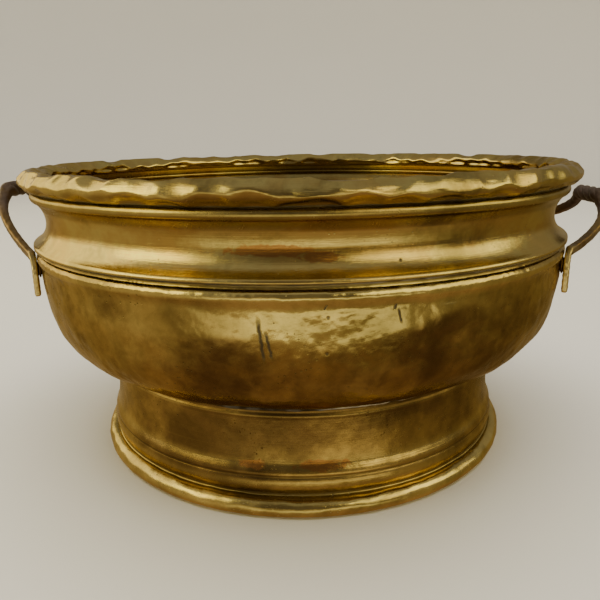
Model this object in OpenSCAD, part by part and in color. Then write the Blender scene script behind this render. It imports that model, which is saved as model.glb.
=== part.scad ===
// Brass planter pot: a spun neck with a rolled rim, a hammered bowl, a spun foot
// ring and two fixed bar handles with twisted grips, joined by solder and braze.
// Millimetres, +Z up, origin at the centre of the underside of the foot ring.
// The handles stand on +X and -X. The front of the pot faces -Y.

/* [Sheet] */
// Thickness of the brass sheet
sheet = 1.2; // [0.8:0.1:2]

/* [Rim and neck] */
// Radius of the middle of the rolled rim
rim_r = 143.9; // [140:0.1:148]
// Height of the middle of the rolled rim
rim_z = 150.2; // [147:0.1:154]
// Half width of the rolled rim, outside
rim_a = 6.1; // [4:0.1:8]
// Half height of the rolled rim, outside
rim_b = 5.3; // [4:0.1:8]
// Radius of the middle of the bead under the rim
bead_r = 142.6; // [140:0.05:145]
// Height of the middle of the bead under the rim
bead_z = 142.35; // [140:0.05:145]
// Outside radius of the bead section
bead_s = 2.45; // [2:0.05:4]
// Outer radius of the neck's lower lip
lip_r = 145.6; // [143:0.1:147]
// Height of the neck's lower lip
lip_z = 118.1; // [115:0.1:119]

/* [Bowl] */
// Outer radius of the bead at the top of the bowl
top_bead_r = 145.0; // [143:0.1:146]
// Height of the bead at the top of the bowl
top_bead_z = 111.7; // [109:0.1:113]
// Outer radius where the bowl meets the foot
seat_r = 110.3; // [105:0.1:115]
// Height where the bowl meets the foot
seat_z = 52.9; // [45:0.5:55]
// Height of the underside of the bowl at its centre
floor_z = 45; // [40:0.5:50]

/* [Foot] */
// Radius of the middle of the foot's rolled edge
ring_r = 113.9; // [110:0.1:118]
// Height of the middle of the foot's rolled edge
ring_z = 4.7; // [4:0.05:5]
// Outside radius of the rolled edge section
ring_s = 4.9; // [4:0.05:6]

/* [Handles] */
// Distance of the grip from the centre of the pot
grip_x = 167; // [160:0.5:175]
// Height of the left grip
grip_z_left = 142; // [130:0.5:145]
// Height of the right grip, which hangs a little lower
grip_z_right = 134.5; // [130:0.5:145]
// Half length of the straight part of the grip
grip_half = 11; // [8:0.5:20]
// Half width of the handle where the grip bends into a leg
shoulder_y = 17; // [14:0.5:26]
// Angle of the legs' feet round the pot from the handle's middle
foot_angle = 24; // [20:0.5:30]
// Radius of the twisted grip
grip_radius = 4.1; // [3:0.1:5]
// Height of the twist's ridges
twist_ridge = 0.42; // [0:0.02:0.8]
// Length of one full turn of the twist
twist_pitch = 32; // [20:1:50]
// Thickness of the flattened tails
tail_thick = 3; // [2:0.1:4]
// Width of the flattened tails
tail_wide = 9; // [6:0.5:12]
// Height of the lower end of the tails
tail_end = 92; // [88:0.5:100]

/* [Hidden] */
$fn = 96;
half_sheet = sheet / 2;

brass = [0.71, 0.56, 0.27];
dark_brass = [0.42, 0.32, 0.18];
solder_grey = [0.62, 0.60, 0.54];

// ---- plane curves -------------------------------------------------------

// Points of an elliptic arc about c, from angle a0 to a1 in n steps.
function arc(c, a, b, a0, a1, n) =
    [for (i = [0:n]) let (t = a0 + (a1 - a0) * i / n)
        [c[0] + a * cos(t), c[1] + b * sin(t)]];

// Points of a cubic curve from p0 to p3, from step k0 to k1 of n.
function cubic(p0, p1, p2, p3, n, k0 = 0, k1 = -1) =
    [for (i = [k0:(k1 < 0 ? n : k1)]) let (t = i / n, u = 1 - t)
        u * u * u * p0 + 3 * u * u * t * p1 + 3 * u * t * t * p2 + t * t * t * p3];

// Unit direction across a line of points at point i.
function across(p, i) =
    let (a = p[max(i - 1, 0)], b = p[min(i + 1, len(p) - 1)], d = b - a)
        [d[1], -d[0]] / norm(d);

// The line of points moved sideways by w.
function beside(p, w) = [for (i = [0:len(p) - 1]) p[i] + w * across(p, i)];

// The outline of a sheet of thickness t about its middle line p.
function skin(p, t) =
    concat(beside(p, t / 2), [for (i = [len(p) - 1:-1:0]) p[i] - t / 2 * across(p, i)]);

// The same outline cut flat at the floor.
function on_floor(p) = [for (q = p) [q[0], max(q[1], 0)]];

// ---- middle lines of the sheets ----------------------------------------

neck_curve = cubic([bead_r + 0.2, bead_z - 1.95], [137.7, 136.6], [134.4, 123.9],
    [lip_r - 0.5, lip_z + 0.3], 18);

neck_line = concat(
    arc([rim_r, rim_z], rim_a - half_sheet, rim_b - half_sheet, -96, 225, 30),
    arc([bead_r, bead_z], bead_s - half_sheet, bead_s - half_sheet, 82, -74, 8),
    [for (i = [1:18]) neck_curve[i]],
    [[lip_r - 0.55, lip_z - 0.9]]);

// The bowl's upper edge lies inside the neck's lower flare.
lap = beside([for (i = [12:17]) neck_curve[i]], sheet + 0.2);

bowl_line = concat(
    lap,
    [[141.95, 115.9]],
    arc([top_bead_r - 3.3, top_bead_z], 2.7, 2.7, 70, -48, 7),
    cubic([142.75, 108.3], [143.0, 88], [140.4, 60.4], [seat_r - 0.2, seat_z + 0.6], 22),
    cubic([seat_r - 0.2, seat_z + 0.6], [96, 48.6], [84, floor_z + 0.6],
        [66, floor_z + 0.6], 6, 1),
    [[0.7, floor_z + 0.6]]);

foot_line = concat(
    [[109.6, 52.1], [109.5, 49.3], [110.25, 48.1], [109.95, 46.1], [109.9, 36],
     [110.2, 29], [111.1, 24.6], [112.7, 20.7], [112.5, 19.3]],
    cubic([112.5, 18.9], [113.7, 16.8], [113.4, 13.4], [112.1, 10.6], 6),
    arc([ring_r, ring_z], ring_s - half_sheet, ring_s - half_sheet, 104, -190, 26));

// ---- handle -------------------------------------------------------------

foot_r = top_bead_r + 0.05 + tail_thick / 2;
function on_pot(r, s, z) = [r * cos(foot_angle), s * r * sin(foot_angle), z];

// Stations of half a handle, from the tail's lower end to the grip's start.
// Each is [centre, half thickness, half width, roundness, twist].
function leg_path(s, zg) =
    let (
        a = tail_thick / 2, b = tail_wide / 2,
        p0 = on_pot(foot_r + 0.4, s, 112.5), p1 = on_pot(foot_r + 0.8, s, 112) + [1, -s * 3, 0],
        p3 = [grip_x, s * shoulder_y, zg - 4.5], p2 = p3 + [0, s * 12, -11],
        leg = cubic(p0, p1, p2, p3, 14),
        turn = cubic(p3, p3 + [0, -s * 3, 2.8], [grip_x, s * (grip_half + 3), zg],
            [grip_x, s * grip_half, zg], 6))
    concat(
        [[on_pot(foot_r, s, tail_end), a * 0.86, b * 0.86, 4, 0],
         [on_pot(foot_r, s, tail_end + 0.9), a, b, 4, 0],
         [on_pot(foot_r, s, 98), a, b, 4, 0],
         [on_pot(foot_r, s, 104), a, b * 0.95, 4, 0],
         [on_pot(foot_r, s, 108.5), a, b * 0.82, 3.4, 0],
         [on_pot(foot_r + 0.1, s, 111), a * 1.05, b * 0.68, 3, 0]],
        [for (i = [1:14]) let (t = i / 14) [leg[i],
            1.7 + 0.9 * pow(t, 2), 2.3 + 0.6 * pow(t, 2), 2.4, 0]],
        [for (i = [1:6]) let (t = i / 6) [turn[i],
            2.6 + (grip_radius - 2.6) * t, 2.9 + (grip_radius - 2.9) * t, 2.2, t]]);

function grip_path(zg) = let (n = 22)
    [for (i = [1:n - 1]) [[grip_x, -grip_half + 2 * grip_half * i / n, zg],
        grip_radius, grip_radius, 2, 1]];

function whole_path(zg) = let (front = leg_path(-1, zg), rear = leg_path(1, zg))
    concat(front, grip_path(zg), [for (i = [len(rear) - 1:-1:0]) rear[i]]);

function unit(v) = v / norm(v);

// Ring of points round one station: a rounded rectangle that turns into a
// round bar whose ridges wind along the grip.
function ring(path, i, n) =
    let (
        st = path[i],
        t = unit(path[min(i + 1, len(path) - 1)][0] - path[max(i - 1, 0)][0]),
        out = unit([st[0][0], st[0][1], 0] * (1 - st[4]) + [norm(st[0]), 0, 0] * st[4]),
        a = unit(out - (out * t) * t), b = cross(t, a),
        turn = 360 * st[0][1] / twist_pitch)
    [for (k = [0:n - 1]) let (
        q = 360 * k / n, c = cos(q), d = sin(q), e = 2 / st[3],
        x = sign(c) * pow(abs(c), e), y = sign(d) * pow(abs(d), e),
        grow = 1 + st[4] * twist_ridge / grip_radius * cos(4 * (q - turn)))
        st[0] + grow * (st[1] * x * a + st[2] * y * b)];

module bar(path, n = 20) {
    m = len(path);
    pts = [for (i = [0:m - 1]) each ring(path, i, n)];
    polyhedron(points = pts, faces = concat(
        [[for (k = [0:n - 1]) k]],
        [[for (k = [n - 1:-1:0]) (m - 1) * n + k]],
        [for (i = [0:m - 2], k = [0:n - 1]) let (j = (k + 1) % n)
            [i * n + k, (i + 1) * n + k, i * n + j]],
        [for (i = [0:m - 2], k = [0:n - 1]) let (j = (k + 1) % n)
            [i * n + j, (i + 1) * n + k, (i + 1) * n + j]]), convexity = 6);
}

// Wedge of braze between a tail and the bowl, angle a round the pot.
module braze(a) {
    color(dark_brass) rotate([0, 0, a - 1.3]) rotate_extrude(angle = 2.6)
        polygon([[143.45, 101.5], [foot_r - tail_thick / 2 - 0.02, 103.2],
            [foot_r - tail_thick / 2 - 0.02, 109.6], [143.95, 108.4]]);
}

// ---- sub-parts -----------------------------------------------------------

module neck_band() {
    color(brass) rotate_extrude() polygon(skin(neck_line, sheet));
}

module bowl() {
    inner = beside(bowl_line, half_sheet);
    color(brass) rotate_extrude() polygon(concat(
        beside(bowl_line, -half_sheet),
        [[0, floor_z], [0, floor_z + sheet]],
        [for (i = [len(inner) - 1:-1:0]) inner[i]]));
}

module neck_solder() {
    color(solder_grey) rotate_extrude()
        polygon([[142.85, 116.1], [144.3, 116.9], [144.3, 117.5], [143.35, 117.5]]);
}

module foot() {
    color(brass) rotate_extrude() polygon(on_floor(skin(foot_line, sheet)));
}

module foot_solder() {
    color(solder_grey) rotate_extrude()
        polygon([[110.25, 51.1], [110.8, 52.2], [112.3, 53.25], [110.2, 52.65]]);
}

module right_handle() {
    color(dark_brass) bar(whole_path(grip_z_right));
}

module left_handle() {
    color(dark_brass) rotate([0, 0, 180]) bar(whole_path(grip_z_left));
}

module left_front_braze() { braze(180 + foot_angle); }
module left_rear_braze() { braze(180 - foot_angle); }
module right_front_braze() { braze(-foot_angle); }
module right_rear_braze() { braze(foot_angle); }

neck_band();
bowl();
neck_solder();
foot();
foot_solder();
left_handle();
right_handle();
left_front_braze();
left_rear_braze();
right_front_braze();
right_rear_braze();
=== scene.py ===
"""Brass planter pot with a hammered rolled rim, a spun neck, a hammered bowl, a
spun foot ring and two twisted bar handles. Each piece is a surface worked out
on a grid of two parameters. Millimetres inside the shape functions, metres in
the meshes. The handles stand on +X and -X and the front faces -Y."""

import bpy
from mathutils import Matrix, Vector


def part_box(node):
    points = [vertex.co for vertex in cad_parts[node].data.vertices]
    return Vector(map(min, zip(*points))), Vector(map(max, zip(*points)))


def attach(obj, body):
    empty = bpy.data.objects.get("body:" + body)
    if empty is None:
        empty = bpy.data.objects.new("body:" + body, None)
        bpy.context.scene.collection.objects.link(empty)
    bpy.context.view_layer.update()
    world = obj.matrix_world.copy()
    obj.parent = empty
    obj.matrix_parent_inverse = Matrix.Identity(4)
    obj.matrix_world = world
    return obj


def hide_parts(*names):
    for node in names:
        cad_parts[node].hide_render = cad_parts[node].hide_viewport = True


bl_info = {
    "name": "Brass planter pot",
    "version": (1, 0, 0),
    "blender": (4, 5, 0),
    "location": "3D View > Sidebar > Planter",
    "description": "Builds a hammered brass planter pot with twisted handles",
    "category": "Object",
}

import math

import bpy
import numpy as np
from bpy.props import FloatProperty, FloatVectorProperty, IntProperty, PointerProperty
from mathutils import Matrix

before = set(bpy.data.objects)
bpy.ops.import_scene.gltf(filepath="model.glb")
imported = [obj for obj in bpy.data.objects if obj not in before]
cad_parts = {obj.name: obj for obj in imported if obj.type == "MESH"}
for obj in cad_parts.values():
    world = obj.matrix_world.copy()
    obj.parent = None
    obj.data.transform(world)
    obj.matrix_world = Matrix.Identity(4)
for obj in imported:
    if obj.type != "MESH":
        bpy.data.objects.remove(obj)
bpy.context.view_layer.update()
GRIP_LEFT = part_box("left_handle")[1].z
GRIP_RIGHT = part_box("right_handle")[1].z

# Shared places in millimetres: middle of each roll and bead, as (radius, height).
RIM_ROLL = (143.9, 150.2)
NECK_BEAD = (142.6, 142.35)
BOWL_BEAD = (141.7, 111.7)
FOOT_ROLL = (113.9, 4.7)
FINE_STEP, ROLL_STEP = 0.62, 0.60
DISH = 0.34  # mean depth of a hammer blow's dish, which scales the marks to 1
BOWL_AROUND, FOOT_AROUND, SEAM_AROUND, SEAM_RING = 372, 440, 1080, 12
LUMP_ROWS, LUMP_AROUND = 20, 32
GRIP_ROWS, BAR_AROUND = 60, 48
GRIP_DROP = 4.45  # from a handle's top down to the middle of its grip
TAIL_SEAT = 145.05  # radius at which the tails' inner faces lie

# Colours of the handles that are not settings. The tails' pale gold is partly polish and partly a
# painted highlight, and the grip's two browns are painted shade.
TAN, TAN_DARK = (0.33, 0.215, 0.085), (0.20, 0.125, 0.055)
TAIL_GOLD_AND_HIGHLIGHT, GRIP_SHADE_PALE = (0.90, 0.76, 0.40), (0.13, 0.088, 0.065)


# ---------------------------------------------------------------- settings


def length_of(name, description, default):
    """A length in metres."""
    return FloatProperty(name=name, description=description, default=default, unit="LENGTH")


def angle_of(name, description, degrees):
    """An angle, given in degrees and kept in radians."""
    return FloatProperty(name=name, description=description, default=math.radians(degrees),
                         subtype="ANGLE")


def power_of(name, description, watts):
    """The power of a light."""
    return FloatProperty(name=name, description=description, default=watts, unit="POWER")


def colour_of(name, description, default):
    """A colour as linear red, green and blue."""
    return FloatVectorProperty(name=name, description=description, subtype="COLOR", size=3,
                               min=0, max=1, default=default)


class PotSizes(bpy.types.PropertyGroup):
    """Sizes of the pot's sheet metal and hammer marks."""

    sheet: length_of("Sheet", "Thickness of the brass sheet", 0.0012)
    rim_ripple: length_of("Rim ripple", "Depth of the flats on the rolled rim", 0.0015)
    rim_flat: length_of("Rim flat", "Length of one flat on the rolled rim", 0.0145)
    bowl_dent: length_of("Bowl dent", "Depth of the planishing marks on the bowl", 0.00030)
    bowl_mark: length_of("Bowl mark", "Width of one planishing mark on the bowl", 0.0135)
    wobble: length_of("Wobble", "Slow unevenness of the raised sheet", 0.00035)
    around: IntProperty(name="Steps around", description="Grid steps around the pot", default=540)


class HandleSizes(bpy.types.PropertyGroup):
    """Sizes of the handles."""

    reach: length_of("Reach", "Distance of a grip from the pot's axis", 0.167)
    grip_half: length_of("Grip half length", "Half of the straight grip", 0.011)
    grip_radius: length_of("Grip radius", "Mean radius of the twisted grip", 0.0041)
    twist_ridge: length_of("Twist ridge", "Height of the twist's ridges", 0.00055)
    twist_pitch: length_of("Twist pitch", "Length of one turn of the twist", 0.032)
    foot_angle: angle_of("Foot angle", "Angle of a tail round the pot", 24)
    tail_thick: length_of("Tail thickness", "Thickness of the flattened tails", 0.003)
    tail_wide: length_of("Tail width", "Width of the flattened tails", 0.009)


class MetalColours(bpy.types.PropertyGroup):
    """Colours of the metal and its patina."""

    brass: colour_of("Brass", "Polished brass", (0.70, 0.565, 0.225))
    amber: colour_of("Amber film", "Thin brown oxide film", (0.42, 0.285, 0.10))
    umber: colour_of("Umber film", "Thick dark oxide film", (0.20, 0.125, 0.050))
    copper: colour_of("Copper tarnish", "Orange heat tarnish", (0.46, 0.22, 0.075))
    # Near-black for soiling in seams and pits, and also painted shade in creases, under lips and
    # rolls, at the foot's top and inside the bowl.
    grime_and_shade: colour_of("Grime", "Dirt in seams and pits", (0.030, 0.019, 0.009))
    # The grips' dark brown is painted shade: the grips are the same brass as the legs.
    grip_shade_brown: colour_of("Handle brown", "Dark patina of the grips", (0.085, 0.058, 0.043))
    solder: colour_of("Solder", "Tin and lead solder", (0.80, 0.78, 0.74))


class StageSettings(bpy.types.PropertyGroup):
    """Camera, lights and floor."""

    distance: length_of("Camera distance", "From the pot's axis, level", 0.3552)
    height: length_of("Camera height", "Above the floor", 0.1685)
    azimuth: angle_of("Camera azimuth", "Round the pot from its front", 2.0)
    pitch: angle_of("Camera pitch", "Downward tilt", 15.18)
    roll: angle_of("Camera roll", "Tilt about the line of sight", -0.91)
    window: power_of("Window light", "Power shared by the two lights on the left", 23.0)
    fill: power_of("Fill light", "Power of the light on the right", 14.0)
    ceiling: power_of("Ceiling light", "Power of the light on the floor", 112.0)
    world: FloatProperty(name="Room light", description="Strength of the surroundings",
                         default=1.0, min=0)
    floor_colour: colour_of("Floor", "Floor and backdrop colour", (0.56, 0.53, 0.47))


# ---------------------------------------------------------------- plane curves


def arc(centre, a, b, start, end, count):
    """Points of an ellipse: the centre plus (a cos t, b sin t), t in degrees."""
    t = np.radians(np.linspace(start, end, count))
    return np.stack([centre[0] + a * np.cos(t), centre[1] + b * np.sin(t)], -1)


def cubic(p0, p1, p2, p3, count):
    """Cubic curve: the four points weighted by the Bernstein terms of t."""
    t = np.linspace(0, 1, count)[:, None]
    p = [np.asarray(q, float) for q in (p0, p1, p2, p3)]
    u = 1 - t
    return u ** 3 * p[0] + 3 * u * u * t * p[1] + 3 * u * t * t * p[2] + t ** 3 * p[3]


def even(line, step):
    """The same line with its points an equal step apart along its length."""
    line = np.asarray(line, float)
    gap = np.linalg.norm(np.diff(line, axis=0), axis=1)
    keep = np.concatenate([[True], gap > 1e-6])
    line = line[keep]
    s = np.concatenate([[0], np.cumsum(np.linalg.norm(np.diff(line, axis=0), axis=1))])
    count = max(2, int(round(s[-1] / step)) + 1)
    at = np.linspace(0, s[-1], count)
    return np.stack([np.interp(at, s, line[:, k]) for k in range(line.shape[1])], -1)


def across(line):
    """Unit direction at right angles to the line, to the right of its travel."""
    d = np.gradient(line, axis=0)
    n = np.stack([d[:, 1], -d[:, 0]], -1)
    return n / np.maximum(np.linalg.norm(n, axis=1), 1e-9)[:, None]


def smooth(low, high, x):
    """Rises from 0 at low to 1 at high as 3t^2 - 2t^3."""
    t = np.clip((x - low) / (high - low), 0, 1)
    return t * t * (3 - 2 * t)


# ---------------------------------------------------------------- hammer work


def waves(angle, s, count, turns, length, seed):
    """Slow unevenness: a sum of cosines, each closing on itself round the pot
    after a whole number of turns and drifting along the profile length s."""
    rng = np.random.default_rng(seed)
    total = np.zeros(np.broadcast(angle, s).shape)
    for _ in range(count):
        k = int(rng.integers(1, turns + 1))
        m = rng.uniform(-1, 1) * 2 * math.pi / length
        total += rng.uniform(0.4, 1.0) * np.cos(k * angle + m * s + rng.uniform(0, 6.283))
    return total / (0.5 * count) ** 0.5


def planish(angle, s, radius, wide, tall, seed, soften=16.0, jitter=0.36):
    """Hammer marks: the plane (arc length, s) is split in cells of wide by tall,
    each with one blow at a jittered centre. The surface is the smooth minimum
    over the near blows of the squared distance to the blow, so it is a field of
    shallow dishes with soft ridges between them. 0 is a dish's bottom."""
    rng = np.random.default_rng(seed)
    around = max(3, int(round(2 * math.pi * radius / wide)))
    low = int(math.floor(s.min() / tall)) - 2
    rows = int(math.ceil(s.max() / tall)) + 3 - low
    shift = rng.uniform(-jitter, jitter, (rows, around, 2))
    depth = rng.uniform(-0.14, 0.14, (rows, around))
    u = np.mod(angle, 2 * math.pi) / (2 * math.pi) * around + 0 * s
    v = s / tall + 0 * angle
    iu, iv = np.floor(u).astype(int), np.floor(v).astype(int)
    total = np.zeros(u.shape)
    for di in (-1, 0, 1):
        for dj in (-1, 0, 1):
            ci, cj = iu + di, iv + dj
            row = np.clip(cj - low, 0, rows - 1)
            col = np.mod(ci, around)
            brick = 0.5 * np.mod(cj, 2)
            du = u - (ci + 0.5 + shift[row, col, 0] + brick - 0.25)
            dv = v - (cj + 0.5 + shift[row, col, 1])
            total += np.exp(-soften * (du * du + dv * dv + depth[row, col]))
    return np.clip(-np.log(total + 1e-12) / soften, -0.3, 1.2)


# ---------------------------------------------------------------- meshes


def put_mesh(name, points, faces, marks=None):
    """A smooth mesh object from points in millimetres and lists of faces with
    equal corner counts. Faces are turned to point outwards by the sign of the
    enclosed volume. marks are named numbers per point."""
    points = np.asarray(points, float) * 0.001
    volume = 0.0
    for quad in faces:
        for k in range(1, quad.shape[1] - 1):
            a, b, c = points[quad[:, 0]], points[quad[:, k]], points[quad[:, k + 1]]
            volume += float(np.einsum("ij,ij->i", a, np.cross(b, c)).sum())
    if volume < 0:
        faces = [quad[:, ::-1] for quad in faces]
    mesh = bpy.data.meshes.new(name)
    corners = np.concatenate([quad.ravel() for quad in faces]).astype(np.int32)
    sizes = np.concatenate([np.full(len(q), q.shape[1]) for q in faces]).astype(np.int32)
    starts = np.concatenate([[0], np.cumsum(sizes)[:-1]]).astype(np.int32)
    mesh.vertices.add(len(points))
    mesh.vertices.foreach_set("co", points.ravel().astype(np.float32))
    mesh.loops.add(len(corners))
    mesh.loops.foreach_set("vertex_index", corners)
    mesh.polygons.add(len(sizes))
    mesh.polygons.foreach_set("loop_start", starts)
    mesh.polygons.foreach_set("loop_total", sizes)
    mesh.polygons.foreach_set("use_smooth", np.ones(len(sizes), bool))
    for key, value in (marks or {}).items():
        layer = mesh.attributes.new(key, "FLOAT", "POINT")
        layer.data.foreach_set("value", np.asarray(value, np.float32).ravel())
    mesh.update(calc_edges=True)
    mesh.validate()
    piece = bpy.data.objects.new(name, mesh)
    bpy.context.scene.collection.objects.link(piece)
    return piece


def grid_faces(rows, columns, close_rows, close_columns):
    """Four-cornered faces between neighbours of a rows by columns grid."""
    i = np.arange(rows if close_rows else rows - 1)
    j = np.arange(columns if close_columns else columns - 1)
    i, j = np.meshgrid(i, j, indexing="ij")
    n, m = (i + 1) % rows, (j + 1) % columns
    return np.stack([i * columns + j, n * columns + j, n * columns + m, i * columns + m],
                    -1).reshape(-1, 4)


def capped_faces(rows, count):
    """Faces of a tube of rings, with a fan of triangles to one point at each end."""
    k = np.arange(count)
    m = (k + 1) % count
    base = (rows - 1) * count
    fans = np.concatenate([np.stack([np.full(count, rows * count), k, m], -1),
                           np.stack([np.full(count, rows * count + 1), base + m, base + k], -1)])
    return [grid_faces(rows, count, False, True), fans]


def lathe(name, outline, normal, relief, marks, poles=False):
    """Turns an outline of (radius, height) points round Z: a point at angle t is
    ((r + relief n_r) cos t, (r + relief n_r) sin t, z + relief n_z). The outline
    closes on itself, or with poles begins and ends on the axis."""
    count = relief.shape[1]
    t = turned(count)
    r = outline[:, 0:1] + relief * normal[:, 0:1]
    z = outline[:, 1:2] + relief * normal[:, 1:2]
    points = np.stack([r * np.cos(t), r * np.sin(t), z], -1)
    if not poles:
        return put_mesh(name, points.reshape(-1, 3),
                        [grid_faces(len(outline), count, True, True)],
                        {k: np.broadcast_to(v, relief.shape) for k, v in marks.items()})
    ring = points[1:-1]
    rows = len(ring)
    ends = np.array([[0, 0, outline[0, 1]], [0, 0, outline[-1, 1]]])
    full = {}
    for key, value in marks.items():
        value = np.broadcast_to(value, relief.shape)
        full[key] = np.concatenate([value[1:-1].ravel(), [value[0].mean(), value[-1].mean()]])
    return put_mesh(name, np.concatenate([ring.reshape(-1, 3), ends]),
                    capped_faces(rows, count), full)


def sweep(name, centre, side, out, half_side, half_out, power, grow, marks):
    """A bar carried along a path. At each station the ring is the path point plus
    half_out x times the out direction plus half_side y times the side direction,
    where x and y are the cosine and sine of the ring angle raised to 2 / power,
    which gives a rounded rectangle, and grow swells or shrinks it."""
    count = grow.shape[1]
    q = turned(count)
    e = (2.0 / power)[:, None]
    x = np.sign(np.cos(q)) * np.abs(np.cos(q)) ** e * half_out[:, None] * grow
    y = np.sign(np.sin(q)) * np.abs(np.sin(q)) ** e * half_side[:, None] * grow
    ring = centre[:, None, :] + x[..., None] * out[:, None, :] + y[..., None] * side[:, None, :]
    rows = len(centre)
    ends = np.stack([ring[0].mean(0), ring[-1].mean(0)])
    full = {}
    for key, value in marks.items():
        value = np.broadcast_to(value, grow.shape)
        full[key] = np.concatenate([value.ravel(), [value[0].mean(), value[-1].mean()]])
    return put_mesh(name, np.concatenate([ring.reshape(-1, 3), ends]),
                    capped_faces(rows, count), full)


def turned(count):
    """Angles round the pot, as one row."""
    return np.linspace(0, 2 * math.pi, count, endpoint=False)[None, :]


# ---------------------------------------------------------------- profiles


def neck_curve():
    """Middle line of the neck's waist, from the bead down to the lip."""
    return cubic([142.8, 140.4], [137.7, 136.6], [134.4, 123.9], [145.1, 118.4], 80)


def neck_wall():
    """Middle line of the neck from its lip up to the top of its bead."""
    bead = arc(NECK_BEAD, 1.85, 1.85, 82, -74, 40)
    line = np.concatenate([bead, neck_curve()[1:], [[145.05, 117.2]]])
    return even(line[::-1], FINE_STEP)


def bowl_wall():
    """Middle line of the bowl from the centre of its floor up to its lap."""
    flare = neck_curve()
    lap = (flare + 1.4 * across(flare))[54:76]
    rim = np.concatenate([lap, [[141.95, 115.9]], arc(BOWL_BEAD, 2.7, 2.7, 70, -48, 24)])
    side = cubic([142.75, 108.3], [143.0, 88], [140.4, 60.4], [110.1, 53.5], 120)
    base = cubic([110.1, 53.5], [96, 48.6], [84, 45.6], [66, 45.6], 60)
    centre = np.stack([np.linspace(66, 0, 22), np.full(22, 45.6)], -1)
    line = np.concatenate([even(rim, FINE_STEP), even(side, 1.25)[1:], even(base, 2.0)[1:],
                           centre[1:]])
    return line[::-1]


def foot_wall():
    """Middle line of the foot's wall, from its top down to the rolled edge."""
    top = [[109.6, 52.1], [109.5, 49.9], [109.6, 49.1], [110.1, 48.4], [110.2, 47.8],
           [110.0, 47.1], [109.95, 46.1]]
    wall = cubic([109.95, 46.1], [109.7, 36], [109.8, 30], [111.1, 24.6], 40)
    flare = cubic([111.1, 24.6], [111.7, 22.8], [112.8, 21.2], [112.75, 19.7], 12)
    band = cubic([112.45, 19.0], [113.8, 16.8], [113.5, 13.4], [112.1, 10.5], 24)
    return even(np.concatenate([top, wall[1:], flare[1:], band]), FINE_STEP)


def rolled_sheet(wall, out, roll, roll_out, half):
    """Closed outline of a sheet with a roll at its edge: the outer face, the roll
    and the inner face back. Gives also the normals, the length run along each
    stretch, the roll's rows, and two flags: 1 on the roll, 1 on the inner face."""
    a, b = len(wall), len(wall) + len(roll)
    outline = np.concatenate([wall + half * out, roll, (wall - half * out)[::-1]])
    normal = np.concatenate([out, roll_out, out[::-1]])
    run = np.concatenate([np.arange(a) * FINE_STEP, np.arange(b - a) * ROLL_STEP,
                          np.arange(a)[::-1] * FINE_STEP])[:, None]
    row = np.arange(len(outline))[:, None]
    rolled = ((row >= a) & (row < b)).astype(float)
    return outline, normal, run, slice(a, b), rolled, (row >= b).astype(float)


def strongest(*parts):
    """At each point the largest of the parts."""
    total = parts[0]
    for part in parts[1:]:
        total = np.maximum(total, part)
    return total


# ---------------------------------------------------------------- node tools


class Wires:
    """Short words for placing and joining shader nodes in one tree."""

    def __init__(self, tree):
        self.tree = tree
        self.column = 0

    def node(self, kind, **settings):
        n = self.tree.nodes.new(kind)
        n.location = (self.column * 180, -(self.column % 5) * 160)
        self.column += 1
        for key, value in settings.items():
            setattr(n, key, value)
        return n

    def feed(self, source, target):
        """Joins a source socket to a target, or sets the target's value."""
        if isinstance(source, bpy.types.NodeSocket):
            self.tree.links.new(source, target)
        else:
            target.default_value = source

    def math(self, operation, a, b=0.0, c=0.0, clamp=False):
        n = self.node("ShaderNodeMath", operation=operation, use_clamp=clamp)
        for value, target in zip((a, b, c), n.inputs):
            self.feed(value, target)
        return n.outputs[0]

    def times(self, a, b, **more):
        return self.math("MULTIPLY", a, b, **more)

    def add(self, a, b, **more):
        return self.math("ADD", a, b, **more)

    def less(self, a, b, **more):
        return self.math("SUBTRACT", a, b, **more)

    def most(self, a, b, **more):
        return self.math("MAXIMUM", a, b, **more)

    def vmath(self, operation, a, b=(0.0, 0.0, 0.0)):
        n = self.node("ShaderNodeVectorMath", operation=operation)
        self.feed(a, n.inputs[0])
        self.feed(b, n.inputs[1])
        return n.outputs["Value" if operation == "LENGTH" else "Vector"]

    def step(self, value, low, high, to_low=0.0, to_high=1.0):
        """A smooth step of value from low to high, put between two results."""
        n = self.node("ShaderNodeMapRange", interpolation_type="SMOOTHSTEP")
        for source, name in ((value, "Value"), (low, "From Min"), (high, "From Max"),
                             (to_low, "To Min"), (to_high, "To Max")):
            self.feed(source, n.inputs[name])
        return n.outputs["Result"]

    def mix(self, factor, a, b, blend="MIX"):
        """A mix of two colours."""
        n = self.node("ShaderNodeMix", data_type="RGBA", blend_type=blend)
        n.clamp_factor = True
        self.feed(factor, n.inputs["Factor"])
        for value, key in ((a, "A"), (b, "B")):
            target = [s for s in n.inputs if s.name == key and s.type == "RGBA"][0]
            if not isinstance(value, bpy.types.NodeSocket):
                value = (value[0], value[1], value[2], 1.0)
            self.feed(value, target)
        return [s for s in n.outputs if s.type == "RGBA"][0]

    def noise(self, vector, scale, detail=3.0, rough=0.55, warp=0.0):
        n = self.node("ShaderNodeTexNoise")
        self.feed(vector, n.inputs["Vector"])
        self.feed(scale, n.inputs["Scale"])
        n.inputs["Detail"].default_value = detail
        n.inputs["Roughness"].default_value = rough
        n.inputs["Distortion"].default_value = warp
        return n.outputs["Fac"]

    def cells(self, vector, scale, feature="F1"):
        n = self.node("ShaderNodeTexVoronoi", feature=feature)
        self.feed(vector, n.inputs["Vector"])
        self.feed(scale, n.inputs["Scale"])
        return n.outputs["Distance"]

    def mark(self, name):
        """A number stored on the piece's points."""
        n = self.node("ShaderNodeAttribute", attribute_name=name)
        return n.outputs["Fac"]


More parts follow.
